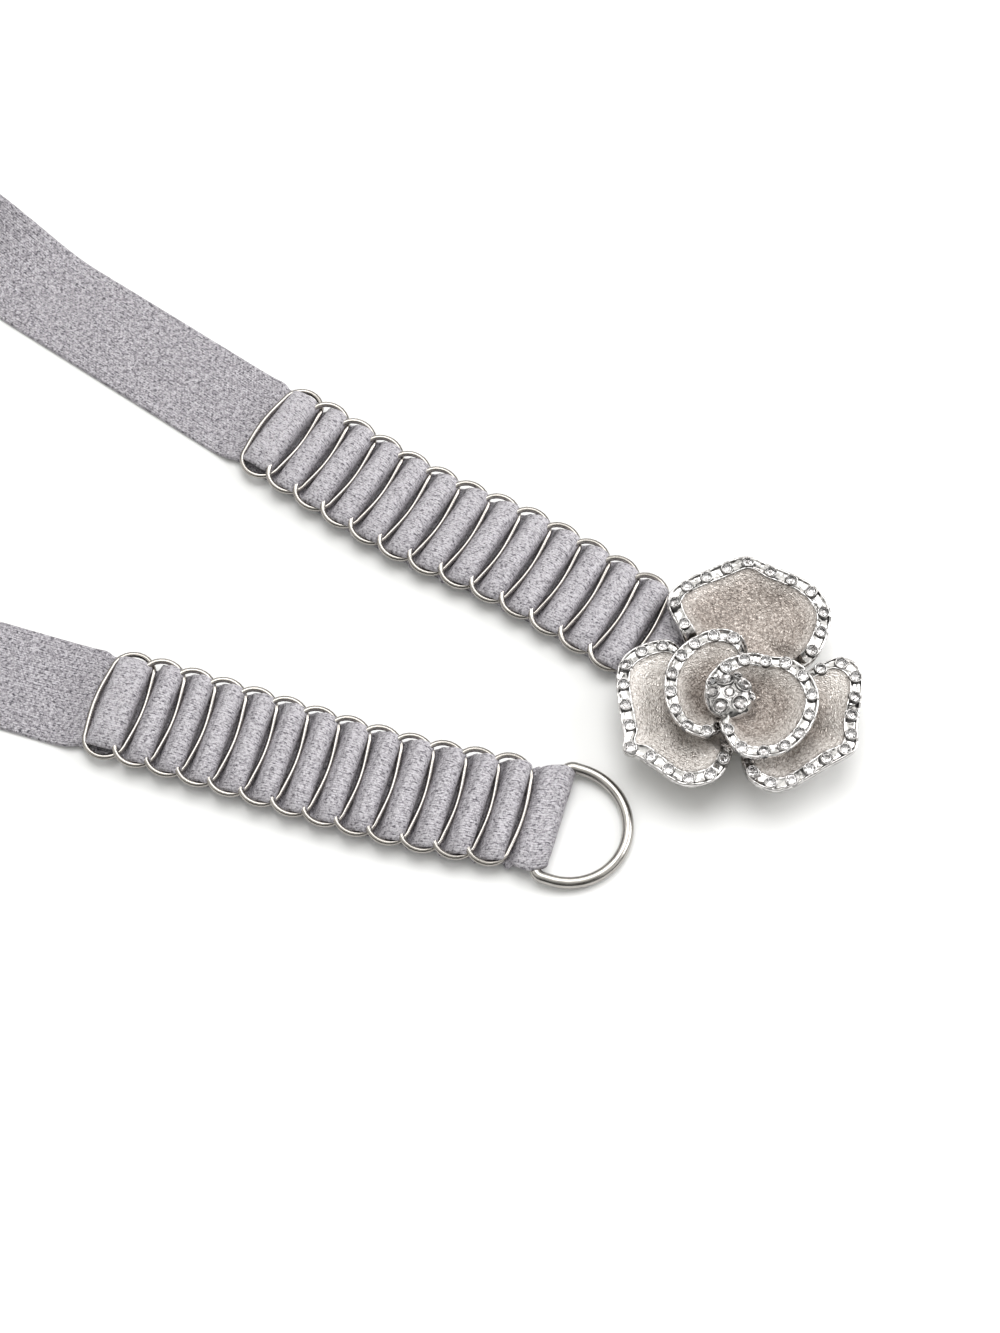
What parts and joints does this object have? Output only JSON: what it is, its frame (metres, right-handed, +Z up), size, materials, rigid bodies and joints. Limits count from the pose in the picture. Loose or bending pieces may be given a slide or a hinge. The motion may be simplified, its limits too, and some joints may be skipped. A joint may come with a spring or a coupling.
{
  "type": "skinny elastic belt",
  "caption": "Narrow silver glitter elastic belt laced through shingled wire rings at both ends, with a cast flower buckle and a D-ring, lying open.",
  "frame": {"origin": "on the table under the middle of the belt's box", "axes": "+X along the belt from its far turn towards the buckle, +Y away from the viewer, +Z up"},
  "size_m": [0.305, 0.1859, 0.025],
  "materials": {
    "webbing": "silver grey woven elastic with metallic glitter yarn",
    "nickel": "polished nickel plate",
    "cast_metal": "pearly sandblasted dishes with polished rims",
    "stone": "clear faceted rhinestone"
  },
  "bodies": {
    "root": {"elastic_band": "webbing", "ring_upper_01": "nickel", "ring_upper_02": "nickel", "ring_upper_03": "nickel", "ring_upper_04": "nickel", "ring_upper_05": "nickel", "ring_upper_06": "nickel", "ring_upper_07": "nickel", "ring_upper_08": "nickel", "ring_upper_09": "nickel", "ring_upper_10": "nickel", "ring_upper_11": "nickel", "ring_upper_12": "nickel", "ring_upper_13": "nickel", "ring_lower_01": "nickel", "ring_lower_02": "nickel", "ring_lower_03": "nickel", "ring_lower_04": "nickel", "ring_lower_05": "nickel", "ring_lower_06": "nickel", "ring_lower_07": "nickel", "ring_lower_08": "nickel", "ring_lower_09": "nickel", "ring_lower_10": "nickel", "ring_lower_11": "nickel", "ring_lower_12": "nickel", "ring_lower_13": "nickel", "d_ring": "nickel", "buckle_back": "nickel", "outer_petal_top": "cast_metal", "outer_petal_left": "cast_metal", "outer_petal_right": "cast_metal", "inner_petals": "cast_metal"}
  },
  "joints": []
}
